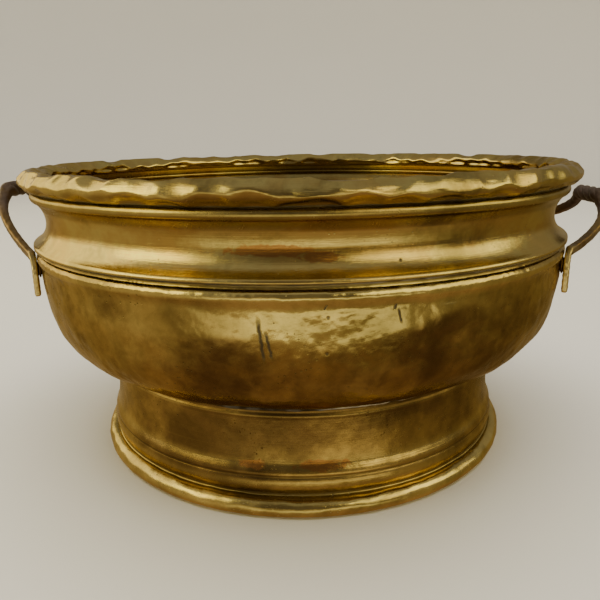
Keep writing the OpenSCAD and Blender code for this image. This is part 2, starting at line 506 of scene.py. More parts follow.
def group(name, inputs, outputs, fill):
    """A shader node group built once: its sockets, then its inside by fill."""
    if name in bpy.data.node_groups:
        return bpy.data.node_groups[name]
    tree = bpy.data.node_groups.new(name, "ShaderNodeTree")
    for label, kind, value in inputs:
        s = tree.interface.new_socket(name=label, in_out="INPUT", socket_type=kind)
        if value is not None:
            s.default_value = value
    for label, kind in outputs:
        tree.interface.new_socket(name=label, in_out="OUTPUT", socket_type=kind)
    w = Wires(tree)
    start, end = w.node("NodeGroupInput"), w.node("NodeGroupOutput")
    for label, source in fill(w, start.outputs).items():
        w.feed(source, end.inputs[label])
    return tree


def place(w, tree, **values):
    """A group in a material, with its inputs fed by name."""
    n = w.node("ShaderNodeGroup")
    n.node_tree = tree
    for key, value in values.items():
        w.feed(value, n.inputs[key.replace("_", " ")])
    return n.outputs


VECTOR, FLOAT = "NodeSocketVector", "NodeSocketFloat"


def patina_film():
    """Mottled oxide film: broad clouds broken up by finer ones, as a mask."""

    def fill(w, i):
        broad = w.noise(i["Vector"], i["Scale"], 4.0, 0.6, 0.5)
        fine = w.noise(i["Vector"], w.times(i["Scale"], 7.0), 5.0, 0.65, 0.3)
        both = w.add(w.times(broad, 0.72), w.times(fine, 0.28))
        edge = w.less(1.0, i["Amount"])
        mask = w.step(both, w.less(edge, i["Softness"]),
                      w.add(edge, i["Softness"]))
        return {"Mask": mask, "Cloud": both}

    return group("Patina film", [("Vector", VECTOR, None), ("Scale", FLOAT, 20.0),
                                 ("Amount", FLOAT, 0.5), ("Softness", FLOAT, 0.1)],
                 [("Mask", FLOAT), ("Cloud", FLOAT)], fill)


def spun_lines():
    """Fine lines round the axis: noise squeezed hard along Z, so it varies fast
    with height and slowly round the pot."""

    def fill(w, i):
        long = w.vmath("MULTIPLY", i["Vector"], (9.0, 9.0, 1.0))
        scaled = w.node("ShaderNodeCombineXYZ")
        parts = w.node("ShaderNodeSeparateXYZ")
        w.feed(long, parts.inputs[0])
        w.feed(parts.outputs[0], scaled.inputs[0])
        w.feed(parts.outputs[1], scaled.inputs[1])
        w.feed(w.times(parts.outputs[2], i["Density"]), scaled.inputs[2])
        lines = w.noise(scaled.outputs[0], 1.0, 5.0, 0.75)
        return {"Height": lines, "Mask": w.step(lines, 0.5, 0.72)}

    return group("Spun lines", [("Vector", VECTOR, None), ("Density", FLOAT, 1800.0)],
                 [("Height", FLOAT), ("Mask", FLOAT)], fill)


def specks():
    """Small dark spots: the near part of Voronoi cells, kept where a broad
    noise is high, so that they gather in places."""

    def fill(w, i):
        near = w.cells(i["Vector"], i["Scale"])
        gather = w.noise(i["Vector"], w.times(i["Scale"], 0.09), 3.0)
        size = w.times(i["Size"], w.step(gather, 0.42, 0.66))
        spot = w.step(near, size, w.add(w.times(size, 0.35), -0.001))
        return {"Mask": spot}

    return group("Specks", [("Vector", VECTOR, None), ("Scale", FLOAT, 300.0),
                            ("Size", FLOAT, 0.2)], [("Mask", FLOAT)], fill)


def wiped_scratches():
    """Fine polishing scratches: two stretched noises crossing at a slant."""

    def fill(w, i):
        total = None
        for turn, squeeze in ((0.35, (6.0, 6.0, 130.0)), (-0.6, (90.0, 90.0, 9.0))):
            m = w.node("ShaderNodeMapping")
            m.inputs["Rotation"].default_value = (turn, turn * 0.7, turn * 0.4)
            w.feed(i["Vector"], m.inputs["Vector"])
            stretched = w.vmath("MULTIPLY", m.outputs["Vector"], squeeze)
            layer = w.noise(stretched, i["Scale"], 4.0, 0.7, 0.2)
            total = layer if total is None else w.add(total, layer)
        return {"Height": total, "Mask": w.step(total, 1.12, 1.34)}

    return group("Wiped scratches", [("Vector", VECTOR, None), ("Scale", FLOAT, 12.0)],
                 [("Height", FLOAT), ("Mask", FLOAT)], fill)


def scored_line():
    """One scored stroke on the front: full within a width of a slanting line and
    fading at its ends. Its place is given by X and Z on the piece."""

    def fill(w, i):
        p = w.node("ShaderNodeSeparateXYZ")
        w.feed(i["Vector"], p.inputs[0])
        z = w.less(p.outputs[2], i["Middle Z"])
        shake = w.times(w.less(w.noise(i["Vector"], 420.0, 2.0), 0.5), 0.0012)
        x = w.less(p.outputs[0], i["Middle X"])
        x = w.add(w.less(x, w.times(z, i["Slant"])), shake)
        near = w.step(w.math("ABSOLUTE", x), i["Width"], w.times(i["Width"], 0.25))
        along = w.step(w.math("ABSOLUTE", z), i["Half Length"],
                       w.times(i["Half Length"], 0.55))
        broken = w.step(w.noise(i["Vector"], 900.0, 2.0), 0.16, 0.36)
        front = w.step(p.outputs[1], 0.0, -0.02)
        mask = w.times(w.times(near, along), w.times(broken, front))
        return {"Mask": mask}

    return group("Scored line", [("Vector", VECTOR, None), ("Middle X", FLOAT, 0.0),
                                 ("Middle Z", FLOAT, 0.0), ("Half Length", FLOAT, 0.008),
                                 ("Width", FLOAT, 0.0008), ("Slant", FLOAT, 0.0)],
                 [("Mask", FLOAT)], fill)


def new_metal(name):
    """An empty material with a Principled shader, the words to wire it, and the
    place on the piece that its patterns read."""
    material = bpy.data.materials.new(name)
    material.use_nodes = True
    material.node_tree.nodes.clear()
    w = Wires(material.node_tree)
    out = w.node("ShaderNodeOutputMaterial")
    shader = w.node("ShaderNodeBsdfPrincipled")
    w.feed(shader.outputs[0], out.inputs[0])
    return material, w, shader, w.node("ShaderNodeTexCoord").outputs["Object"]


def roughen(w, shader, height, strength, distance):
    """Bumps the shader's surface by a height."""
    bump = w.node("ShaderNodeBump")
    bump.inputs["Strength"].default_value = strength
    bump.inputs["Distance"].default_value = distance
    w.feed(height, bump.inputs["Height"])
    w.feed(bump.outputs[0], shader.inputs["Normal"])


def aged_brass(name, film=0.5, dark=0.3, lines=0.0, rough=0.2, scored=(), spots=0.16,
               copper_spots=(), dents=0.8):
    """Brass under a mottled brown film. The piece's marks say where it is clean (tone, which also
    carries painted reflections and highlights), where painted shade and soiling darken it, and
    where blows stand high (wear)."""
    known = bpy.data.materials.get(name)
    if known:
        return known
    colours = bpy.context.scene.pot_metal
    material, w, shader, place_on = new_metal(name)
    shader.inputs["Specular Tint"].default_value = (0.85, 0.76, 0.58, 1)
    tone, shade_and_dirt, wear = w.mark("tone"), w.mark("shade_and_dirt"), w.mark("wear")

    cloud = place(w, patina_film(), Vector=place_on, Scale=24.0, Amount=film, Softness=0.09)
    deep = place(w, patina_film(), Vector=w.vmath("ADD", place_on, (0.31, 0.17, 0.05)), Scale=13.0,
                 Amount=dark, Softness=0.09)
    speck = place(w, specks(), Vector=place_on, Scale=430.0, Size=spots * 1.5)
    pit = place(w, specks(), Vector=place_on, Scale=95.0, Size=spots * 0.55)
    scratch = place(w, wiped_scratches(), Vector=place_on, Scale=11.0)
    spun = place(w, spun_lines(), Vector=place_on, Density=1700.0) if lines else None

    # Film cover, taken off where tone marks clean brass and painted reflections, and on high blows.
    worn = w.less(cloud["Mask"], tone, clamp=True)
    worn = w.less(worn, w.times(wear, 0.25), clamp=True)
    base = w.mix(worn, colours.brass, colours.amber)
    base = w.mix(w.times(deep["Mask"], w.step(tone, 0.75, 0.1)), base, colours.umber)
    cloudy = w.step(cloud["Cloud"], 0.34, 0.66, 0.66, 1.22)
    tint = w.node("ShaderNodeCombineColor")
    for k in range(3):
        w.feed(cloudy, tint.inputs[k])
    base = w.mix(1.0, base, tint.outputs[0], "MULTIPLY")
    if lines:
        base = w.mix(w.times(spun["Mask"], 0.30 * lines), base, colours.amber)
    if copper_spots:
        heat = 0.0
        for centre, size in copper_spots:
            gap = w.vmath("LENGTH", w.vmath("DIVIDE", w.vmath("SUBTRACT", place_on, centre), size))
            ragged = w.add(gap, w.times(w.noise(place_on, 260.0, 4.0), 1.3))
            heat = w.most(heat, w.step(ragged, 1.55, 1.25))
        base = w.mix(w.times(heat, 0.85), base, colours.copper)
    # Painted shade in creases and hollows, together with soiling, broken a little by noise.
    shade_dirt_mask = w.times(shade_and_dirt, w.step(w.noise(place_on, 70.0, 2.0), 0.25, 0.55, 0.72, 1.0))
    flecks = w.most(w.times(speck["Mask"], 0.55), w.times(pit["Mask"], 0.9))
    for x, z, half, wide, slant in scored:
        stroke = place(w, scored_line(), Vector=place_on, Middle_X=x, Middle_Z=z,
                       Half_Length=half, Width=wide, Slant=slant)["Mask"]
        flecks = w.most(flecks, w.times(stroke, 0.95))
    base = w.mix(w.most(shade_dirt_mask, flecks, clamp=True), base, colours.grime_and_shade)
    w.feed(base, shader.inputs["Base Color"])

    metal = w.step(w.most(shade_dirt_mask, flecks), 0.35, 1.0, 1.0, 0.25)
    w.feed(metal, shader.inputs["Metallic"])
    gloss = w.add(rough, w.times(worn, 0.06))
    gloss = w.add(gloss, w.times(deep["Mask"], 0.07))
    gloss = w.add(gloss, w.times(scratch["Mask"], 0.10))
    gloss = w.add(gloss, w.times(w.most(shade_dirt_mask, flecks), 0.30))
    w.feed(gloss, shader.inputs["Roughness"])

    height = w.times(scratch["Height"], 0.10)
    height = w.add(height, w.times(cloud["Cloud"], 0.5))
    if lines:
        height = w.add(height, w.times(spun["Height"], 0.30 * lines))
    height = w.less(height, w.times(flecks, 0.5))
    height = w.add(height, w.times(w.noise(place_on, 150.0, 1.5), dents))
    fine = w.noise(place_on, 520.0, 3.0)
    height = w.add(height, w.times(fine, 0.10))
    roughen(w, shader, height, 0.42, 0.0006)
    return material


def handle_metal():
    """Handle bar: a dark brown grip whose darkness is painted shade, tan brown legs, and pale gold
    tails that are partly polish and partly a painted highlight, with hammer marks and painted shade
    in the twist's hollows."""
    name = "Handle brass"
    known = bpy.data.materials.get(name)
    if known:
        return known
    colours = bpy.context.scene.pot_metal
    material, w, shader, place_on = new_metal(name)
    grip, tail, shade_and_dirt = w.mark("grip"), w.mark("tail"), w.mark("shade_and_dirt")
    cloud = place(w, patina_film(), Vector=place_on, Scale=42.0, Amount=0.52, Softness=0.14)
    speck = place(w, specks(), Vector=place_on, Scale=380.0, Size=0.26)
    tan = w.mix(cloud["Mask"], TAN, TAN_DARK)
    # The tails' pale gold: partly polish, partly a painted highlight.
    tail_gold_and_highlight = w.mix(w.times(cloud["Mask"], 0.20), TAIL_GOLD_AND_HIGHLIGHT, colours.amber)
    base = w.mix(tail, tan, tail_gold_and_highlight)
    # Painted shade: the grip's dark browns.
    base = w.mix(grip, base, w.mix(cloud["Mask"], colours.grip_shade_brown, GRIP_SHADE_PALE))
    # Painted shade in the twist's hollows, with dark specks.
    shade_dirt_mask = w.most(shade_and_dirt, w.times(speck["Mask"], 0.7))
    base = w.mix(shade_dirt_mask, base, colours.grime_and_shade)
    w.feed(base, shader.inputs["Base Color"])
    metal = w.less(1.0, w.times(shade_dirt_mask, 0.6))
    w.feed(w.less(metal, w.times(grip, 0.25)), shader.inputs["Metallic"])
    gloss = w.add(0.30, w.times(grip, 0.14))
    gloss = w.add(gloss, w.times(cloud["Mask"], 0.08))
    w.feed(gloss, shader.inputs["Roughness"])
    strikes = w.cells(w.vmath("MULTIPLY", place_on, (1.0, 1.0, 0.8)), 260.0, "SMOOTH_F1")
    height = w.add(w.times(strikes, 1.2), w.times(w.noise(place_on, 700.0, 4.0), 0.35))
    roughen(w, shader, height, 0.55, 0.0007)
    return material


def solder_metal():
    """Dull solder: dark brown, with clean grey solder in a few spots and painted glints of grey on
    the foot seam's front right.
    """
    name = "Soft solder"
    known = bpy.data.materials.get(name)
    if known:
        return known
    colours = bpy.context.scene.pot_metal
    material, w, shader, place_on = new_metal(name)
    clean_and_glint, shade_and_dirt = w.mark("clean_and_glint"), w.mark("shade_and_dirt")
    cloud = place(w, patina_film(), Vector=place_on, Scale=120.0, Amount=0.5, Softness=0.1)
    dark_brown = w.mix(cloud["Mask"], (0.06, 0.038, 0.018), (0.028, 0.018, 0.010))
    base = w.mix(clean_and_glint, dark_brown, colours.solder)
    base = w.mix(shade_and_dirt, base, colours.grime_and_shade)
    w.feed(base, shader.inputs["Base Color"])
    w.feed(w.add(0.55, w.times(clean_and_glint, 0.45), clamp=True), shader.inputs["Metallic"])
    w.feed(w.less(0.55, w.times(clean_and_glint, 0.22)), shader.inputs["Roughness"])
    roughen(w, shader, w.noise(place_on, 900.0, 4.0), 0.5, 0.0005)
    return material


def plain_floor():
    """Matt pale floor and backdrop with a faint cloudiness."""
    material = bpy.data.materials.new("Plain floor")
    material.use_nodes = True
    w = Wires(material.node_tree)
    shader = [n for n in material.node_tree.nodes if n.type == "BSDF_PRINCIPLED"][0]
    place_on = w.node("ShaderNodeTexCoord").outputs["Object"]
    tone = tuple(bpy.context.scene.pot_stage.floor_colour)
    pale = tuple(c * 0.965 for c in tone)
    w.feed(w.mix(w.noise(place_on, 2.5, 3.0), pale, tone), shader.inputs["Base Color"])
    shader.inputs["Roughness"].default_value = 0.75
    return material


def dress(piece, material, slot_name, *nodes):
    """Gives a finished piece its material and body and hides the solids it stands for; its slot
    name is not used.
    """
    piece.data.materials.clear()
    piece.data.materials.append(material)
    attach(piece, "root")
    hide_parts(*nodes)
    return piece


def bell(x, middle, width):
    """1 at the middle, falling as exp(-((x - middle) / width)^2)."""
    return np.exp(-((x - middle) / width) ** 2)


# ---------------------------------------------------------------- operators


class POT_OT_neck(bpy.types.Operator):
    """Neck band with its bead, waist, lip and hammered rolled rim"""

    bl_idname = "pot.neck"
    bl_label = "Make neck and rim"

    def execute(self, context):
        s = context.scene.pot_sizes
        half = s.sheet * 500
        wall = neck_wall()
        out = across(wall)
        roll = even(arc(RIM_ROLL, 6.1, 5.3, -97, 226, 240), ROLL_STEP)
        roll_out = across(roll)
        outline, normal, run, edge, rolled, inside = rolled_sheet(wall, out, roll, roll_out, half)
        t = turned(s.around)
        relief = 0.10 * waves(t, run, 9, 7, 60, 5)
        blows = planish(t, run[edge], 146, s.rim_flat * 1000, 8.6, 11, 30.0, 0.27)
        ends = smooth(0.5, 3.5, run[edge]) * smooth(0.5, 4.0, run[edge][-1] - run[edge])
        slow = 0.16 * waves(t, run[edge], 8, 23, 90, 7)
        flats = s.rim_ripple * 1000 * (np.clip(blows / DISH, 0, 1.25) - 1.0)
        high = ends * (flats + slow)
        relief[edge] = -np.log1p(np.exp(-6 * high)) / 6
        z = outline[:, 1:2]
        outer, plain = 1 - inside, 1 - rolled
        # Painted shade: a dark line between the roll and the bead, one under the bead, a darker
        # band over the neck's top and shade under the lip.
        painted_shade = strongest(0.95 * bell(z, 144.85, 0.40) * outer * (outline[:, 0:1] < 145.5),
                           0.45 * bell(z, 140.2, 0.6) * outer * plain,
                           0.34 * smooth(135.4, 137.0, z) * plain,
                           0.9 * smooth(117.9, 117.2, z) * outer)
        # Painted shade on the underside of the rolled rim: less clean brass and more of the
        # near-black colour there.
        roll_underside_shade = rolled * smooth(149.9, 147.2, z) * (outline[:, 0:1] > 143)
        # Painted reflection: a band of clean brass on the neck's front from 129 to 136 mm high,
        # faint round the back. The lower flare, the roll and the bead are made cleaner as polish.
        front = np.mod(t + 1.5 * math.pi, 2 * math.pi) - math.pi
        reflection_front = 0.12 + 0.88 * smooth(-0.25, -0.21, front) * smooth(0.48, 0.45, front)
        painted_reflection_band = smooth(136.0, 135.0, z) * smooth(129.0, 130.0, z) * reflection_front
        tone = (0.85 * painted_reflection_band * plain + 0.50 * smooth(128, 125, z) * plain + 0.30 * rolled
                + 0.5 * bell(z, 142.4, 1.6) * plain)
        tone = tone * (1 - 0.6 * inside) - 0.5 * roll_underside_shade + 0 * t
        wear = np.zeros_like(relief)
        wear[edge] = np.clip(blows / DISH, 0, 1)
        marks = {"tone": tone, "shade_and_dirt": np.maximum(painted_shade, 0.22 * roll_underside_shade), "wear": wear}
        piece = lathe("neck_and_rim", outline, normal, relief, marks)
        metal = aged_brass("Neck brass", film=0.50, dark=0.40, lines=1.0, rough=0.10, dents=0.35,
                           copper_spots=(((-0.006, -0.138, 0.1285), (0.021, 0.05, 0.0030)),
                                         ((0.012, -0.138, 0.1262), (0.010, 0.05, 0.0026))))
        dress(piece, metal, "brass_sheet", "neck_band")
        return {"FINISHED"}


class POT_OT_bowl(bpy.types.Operator):
    """Hammered bowl with its bead and the lap inside the neck"""

    bl_idname = "pot.bowl"
    bl_label = "Make bowl"

    def execute(self, context):
        s = context.scene.pot_sizes
        half = s.sheet * 500
        wall = bowl_wall()
        out = across(wall)
        outline = np.concatenate([wall + half * out, (wall - half * out)[::-1]])
        outline[[0, -1], 0] = 0
        normal = np.concatenate([out, out[::-1]])
        t = turned(BOWL_AROUND)
        gap = np.linalg.norm(np.diff(wall, axis=0), axis=1)
        along = np.concatenate([[0], np.cumsum(gap)])
        run = np.concatenate([along, along[::-1]])[:, None]
        r, z = outline[:, 0:1], outline[:, 1:2]
        raised = (smooth(108.3, 105.2, z) * smooth(112, 122, r)
                  + 0.35 * smooth(106, 96, r) * smooth(12, 50, r))
        blows = planish(t, run, 134, s.bowl_mark * 1000, s.bowl_mark * 900, 29, 9.0, 0.42)
        relief = raised * s.bowl_dent * 1000 * (np.clip(blows / DISH, 0, 1.3) - 0.6)
        slow = waves(t, run, 16, 17, 26, 31)
        relief += s.wobble * 1000 * 0.60 * slow * (0.15 + 0.85 * raised)
        n = len(wall)
        inside = np.zeros((2 * n, 1))
        inside[n:] = 1
        outer = 1 - inside
        # Painted shade: dark lines under the neck's lip, under the bead and where the foot meets
        # the bowl, and shade inside the bottom of the bowl.
        painted_shade = strongest(0.75 * bell(z, 115.9, 0.8) * outer, 0.85 * bell(z, 108.25, 0.6) * outer,
                           0.95 * bell(r, 110.6, 1.6) * (z < 60) * outer,
                           0.5 * inside * smooth(60, 47, z))
        # Partly polish, partly painted reflection: clean brass high on the bowl with a ragged lower
        # edge, strong on the front and weaker round the rest.
        front = np.mod(t + math.pi, 2 * math.pi) - math.pi
        polish_and_reflection = smooth(90 + 3.5 * slow, 99 + 3.5 * slow, z) * (1 - inside)
        where = (0.12 + 0.88 * bell(front + math.pi / 2 - 0.12, 0.0, 0.42)
                 + 0.25 * bell(front, 2.2, 0.7))
        tone = 0.95 * polish_and_reflection * np.clip(where, 0, 1) + 0.5 * bell(z, 111.7, 2.4) * (1 - inside)
        marks = {"tone": tone, "shade_and_dirt": painted_shade + 0 * t,
                 "wear": np.clip(blows / DISH, 0, 1) * raised}
        piece = lathe("bowl_hammered", outline, normal, relief, marks, poles=True)
        metal = aged_brass("Bowl brass", film=0.74, dark=0.46, rough=0.13, spots=0.20, dents=2.6,
                           scored=((-0.0106, 0.0947, 0.0105, 0.0012, -0.10),
                                   (-0.0076, 0.0928, 0.0068, 0.0010, -0.18),
                                   (0.0420, 0.1030, 0.0035, 0.0007, -0.2),
                                   (0.0400, 0.1068, 0.0014, 0.0008, 0.3),
                                   (0.0138, 0.1080, 0.0012, 0.0007, 0.5)))
        dress(piece, metal, "brass_sheet", "bowl")
        return {"FINISHED"}


class POT_OT_foot(bpy.types.Operator):
    """Spun foot ring with a stepped wall and a rolled lower edge"""

    bl_idname = "pot.foot"
    bl_label = "Make foot"

    def execute(self, context):
        s = context.scene.pot_sizes
        half = s.sheet * 500
        wall = foot_wall()
        out = -across(wall)
        roll = even(arc(FOOT_ROLL, 4.9, 4.9, 103, -192, 240), ROLL_STEP)
        roll_out = -across(roll)
        outline, normal, run, edge, rolled, inside = rolled_sheet(wall, out, roll, roll_out, half)
        outline[:, 1] = np.maximum(outline[:, 1], 0)
        t = turned(FOOT_AROUND)
        z = outline[:, 1:2]
        relief = 0.14 * waves(t, run, 12, 9, 40, 41) * smooth(0.0, 6.0, z)
        blows = planish(t, run[edge], 117, 11.0, 6.0, 43, 9.0, 0.42)
        relief[edge] += smooth(0.4, 2.2, z[edge]) * 0.26 * (np.clip(blows / DISH, 0, 1.2) - 1.0)
        # Painted shade: dark lines at the wall's step and above the rolled edge, shade at the top
        # of the foot under the bowl and a faint line at its shoulder.
        painted_shade = strongest(0.9 * bell(z, 10.5, 0.8) * (1 - inside),
                           0.65 * bell(z, 19.3, 0.45) * (1 - inside),
                           0.9 * smooth(50.3, 51.7, z), 0.35 * bell(z, 48.9, 0.5))
        # Partly polish, partly painted highlight: cleaner brass in bands at the lower band, the
        # cove and the shoulder, where highlights fall, and on the rolled edge.
        tone = (0.62 * rolled + 0.42 * bell(z, 15, 3.0) + 0.40 * bell(z, 24.5, 3.0)
                + 0.35 * bell(z, 47.9, 1.0))
        tone = tone * (1 - 0.8 * inside) + 0 * t
        wear = np.zeros_like(relief)
        wear[edge] = np.clip(blows / DISH, 0, 1)
        marks = {"tone": tone, "shade_and_dirt": painted_shade, "wear": wear}
        piece = lathe("foot_ring", outline, normal, relief, marks)
        stains = (((0.012, -0.1125, 0.0245), (0.015, 0.03, 0.0034)),
                  ((-0.020, -0.111, 0.0245), (0.008, 0.03, 0.003)))
        metal = aged_brass("Foot brass", film=0.82, dark=0.52, lines=0.7, rough=0.14, spots=0.16,
                           dents=1.0, copper_spots=stains)
        dress(piece, metal, "brass_sheet", "foot")
        return {"FINISHED"}


class POT_OT_seams(bpy.types.Operator):
    """Soldered seams of the neck and the foot"""

    bl_idname = "pot.seams"
    bl_label = "Make solder seams"

    def execute(self, context):
        metal = solder_metal()
        for name, node, r, z, size, seed in (("foot_seam", "foot_solder", 111.85, 52.35, 0.92, 61),
                                             ("neck_seam", "neck_solder", 143.75, 116.85, 0.5, 67)):
            t = turned(SEAM_AROUND)
            q = turned(SEAM_RING).T
            fine = waves(t, 0 * t, 14, 90, 50, seed)
            broad = waves(t, 0 * t, 7, 9, 50, seed + 1)
            rough = waves(t, q * 3, 10, 160, 9, seed + 2)
            body = size * (1 + 0.22 * fine + 0.18 * broad + 0.10 * rough)
            body = np.clip(body, 0.35 * size, 1.7 * size)
            rr, zz = r + body * np.cos(q), z + body * np.sin(q) * 0.85
            points = np.stack([rr * np.cos(t), rr * np.sin(t), zz], -1)
            # Painted glints: a stretch of clean grey solder on the front right of the foot seam,
            # besides a few random clean spots.
            where = smooth(-1.50, -1.40, t - 2 * math.pi) * smooth(-0.95, -1.05, t - 2 * math.pi)
            clean_and_glint = np.maximum(0.12 * smooth(0.1, 0.8, fine + 0.5 * broad),
                                where * smooth(-0.7, 0.2, fine)) + 0 * q
            piece = put_mesh(name, points.reshape(-1, 3),
                             [grid_faces(SEAM_RING, SEAM_AROUND, True, True)],
                             {"clean_and_glint": clean_and_glint * (1.0 if node == "foot_solder" else 0.4),
                              "shade_and_dirt": 0.3 + 0 * clean_and_glint})
            dress(piece, metal, "solder", node)
        return {"FINISHED"}


def handle_path(side, grip_z, sizes):
    """Half of a handle from its tail up to the grip, side -1 in front and 1
    behind: rows of centre x y z, half thickness, half width, roundness, twist."""
    angle = sizes.foot_angle
    a, b = sizes.tail_thick * 500, sizes.tail_wide * 500
    foot_r = TAIL_SEAT + a
    reach, half, radius = sizes.reach * 1000, sizes.grip_half * 1000, sizes.grip_radius * 1000

    def on_pot(r, z):
        return np.array([r * math.cos(angle), side * r * math.sin(angle), z])

    def row(centre, thick, wide, power, twist):
        return [*centre, thick, wide, power, twist]

    rows = [row(on_pot(foot_r, 92.0), a * 0.80, b * 0.80, 3.2, 0),
            row(on_pot(foot_r, 92.35), a * 0.94, b * 0.94, 3.6, 0)]
    for z in np.arange(93.0, 108.6, 0.75):
        ragged = 0.10 * math.sin(z * 1.9 + side) + 0.07 * math.sin(z * 3.7)
        narrow = 1 - 0.18 * float(smooth(103, 108.5, z))
        rows.append(row(on_pot(foot_r, z), a + ragged * 0.5, b * narrow + ragged, 4.0, 0))
    rows.append(row(on_pot(foot_r + 0.1, 110.2), a * 1.05, b * 0.74, 3.4, 0))
    rows.append(row(on_pot(foot_r + 0.25, 111.5), a * 1.05, b * 0.62, 3.2, 0))
    p0 = on_pot(foot_r + 0.4, 112.5)
    p1 = on_pot(foot_r + 0.8, 112.0) + np.array([1, -side * 3, 0])
    p3 = np.array([reach, side * 17.0, grip_z - 4.5])
    p2 = p3 + np.array([0, side * 12.0, -11.0])
    leg = cubic(p0, p1, p2, p3, 52)
    for k, centre in enumerate(leg[1:], 1):
        u = k / 51
        rows.append(row(centre, 1.8 + 0.8 * u * u, 2.25 + 0.65 * u * u, 4.2 - 1.6 * u, 0))
    turn = cubic(p3, p3 + np.array([0, -side * 3, 2.8]), [reach, side * (half + 3), grip_z],
                 [reach, side * half, grip_z], 20)
    for k, centre in enumerate(turn[1:], 1):
        u = k / 19
        rows.append(row(centre, 2.6 + (radius - 2.6) * u, 2.9 + (radius - 2.9) * u,
                        2.6 - 0.5 * u, u))
    return np.array(rows)


class POT_OT_handles(bpy.types.Operator):
    """Two bar handles with twisted grips, splayed legs and flattened tails"""

    bl_idname = "pot.handles"
    bl_label = "Make handles"

    def execute(self, context):
        s = context.scene.pot_handles
        metal = handle_metal()
        for name, node, top, flip in (("left_bar", "left_handle", GRIP_LEFT, -1),
                                      ("right_bar", "right_handle", GRIP_RIGHT, 1)):
            grip_z = top * 1000 - GRIP_DROP
            front, rear = handle_path(-1, grip_z, s), handle_path(1, grip_z, s)
            half, radius = s.grip_half * 1000, s.grip_radius * 1000
            y = np.linspace(-half, half, GRIP_ROWS + 2)[1:-1]
            same = np.ones(GRIP_ROWS)
            grip = np.stack([same * (s.reach * 1000), y, same * grip_z, same * radius,
                             same * radius, same * 2.1, same], -1)
            path = np.concatenate([front, grip, rear[::-1]])
            centre, twist = path[:, :3], path[:, 6]
            along = np.gradient(centre, axis=0)
            along /= np.linalg.norm(along, axis=1)[:, None]
            level = centre * np.array([1, 1, 0])
            level /= np.linalg.norm(level, axis=1)[:, None]
            guide = level * (1 - twist)[:, None] + np.array([1.0, 0, 0]) * twist[:, None]
            out = guide - (guide * along).sum(1)[:, None] * along
            out /= np.linalg.norm(out, axis=1)[:, None]
            side = np.cross(along, out)
            q = turned(BAR_AROUND)
            turn = 2 * math.pi * centre[:, 1:2] / (s.twist_pitch * 1000)
            lobe = np.abs(np.sin(2 * (q - turn)))
            strand = np.abs(np.sin(6 * (q - turn)))
            ridge = s.twist_ridge * 1000 * (1.55 * lobe ** 0.75 - 1.0) + 0.10 * (strand - 0.6)
            grow = 1 + twist[:, None] * ridge / radius
            z = centre[:, 2:3]
            far = np.abs(centre[:, 1:2])
            worn = 0.025 * np.sin(z * 2.3 + 3 * q) + 0.02 * np.sin(far * 1.7 + 2 * q)
            grow = grow + worn * (1 - twist[:, None])
            # Painted shade: the grip and the top of the legs are darker, and the twist's hollows
            # darker still; the tails' pale gold is partly a painted highlight.
            dark = smooth(34, 20, far) * smooth(114, 122, z)
            marks = {"grip": dark + 0 * q, "tail": smooth(113.5, 110.5, z) + 0 * q,
                     "shade_and_dirt": twist[:, None] * smooth(0.34, 0.05, lobe) * 0.85 + 0 * q}
            if flip < 0:
                turn_round = np.array([-1.0, -1.0, 1.0])
                centre, out, side = centre * turn_round, out * turn_round, side * turn_round
            piece = sweep(name, centre, side, out, path[:, 4], path[:, 3], path[:, 5], grow, marks)
            dress(piece, metal, "handle_brass", node)
        return {"FINISHED"}


class POT_OT_braze(bpy.types.Operator):
    """Lumps of braze between the tails and the bowl"""

    bl_idname = "pot.braze"
    bl_label = "Make braze lumps"

    def execute(self, context):
        metal = aged_brass("Braze", film=0.7, dark=0.6, rough=0.34)
        angle = context.scene.pot_handles.foot_angle
        for name, turn in (("right_front_braze", -angle), ("right_rear_braze", angle),
                           ("left_front_braze", math.pi + angle),
                           ("left_rear_braze", math.pi - angle)):
            u = np.linspace(0, math.pi, LUMP_ROWS)[:, None]
            v = turned(LUMP_AROUND)
            lump = 1 + 0.10 * waves(v, u * 2, 8, 5, 4, len(name))
            level = np.sin(u) * lump
            x = 144.25 + 1.0 * level * np.cos(v)
            y = 3.3 * level * np.sin(v)
            z = 105.6 - 4.3 * np.cos(u) * lump
            c, d = math.cos(turn), math.sin(turn)
            points = np.stack([x * c - y * d, x * d + y * c, z + 0 * x], -1)
            ends = points[[0, -1]].mean(1)
            ring = points[1:-1].reshape(-1, 3)
            zero = np.zeros(len(ring) + 2)
            piece = put_mesh(name + "_lump", np.concatenate([ring, ends]),
                             capped_faces(LUMP_ROWS - 2, LUMP_AROUND),
                             {"tone": zero, "shade_and_dirt": zero + 0.25, "wear": zero})
            dress(piece, metal, "braze", name)
        return {"FINISHED"}


def softbox(name, azimuth, elevation, away, wide, tall, power, colour=(1, 1, 1)):
    """A rectangular light turned to the pot from an azimuth (0 in front, positive to
    +X) and an elevation, in degrees."""
    data = bpy.data.lights.new(name, "AREA")
    data.shape = "RECTANGLE"
    data.size, data.size_y = wide, tall
    data.energy = power
    data.color = colour
    lamp = bpy.data.objects.new(name, data)
    bpy.context.scene.collection.objects.link(lamp)
    a, e = math.radians(azimuth), math.radians(elevation)
    spot = (away * math.cos(e) * math.sin(a), -away * math.cos(e) * math.cos(a),
            0.1 + away * math.sin(e))
    lamp.matrix_world = (Matrix.Translation(spot) @ Matrix.Rotation(a, 4, "Z")
                         @ Matrix.Rotation(math.pi / 2 - e, 4, "X"))
    return lamp


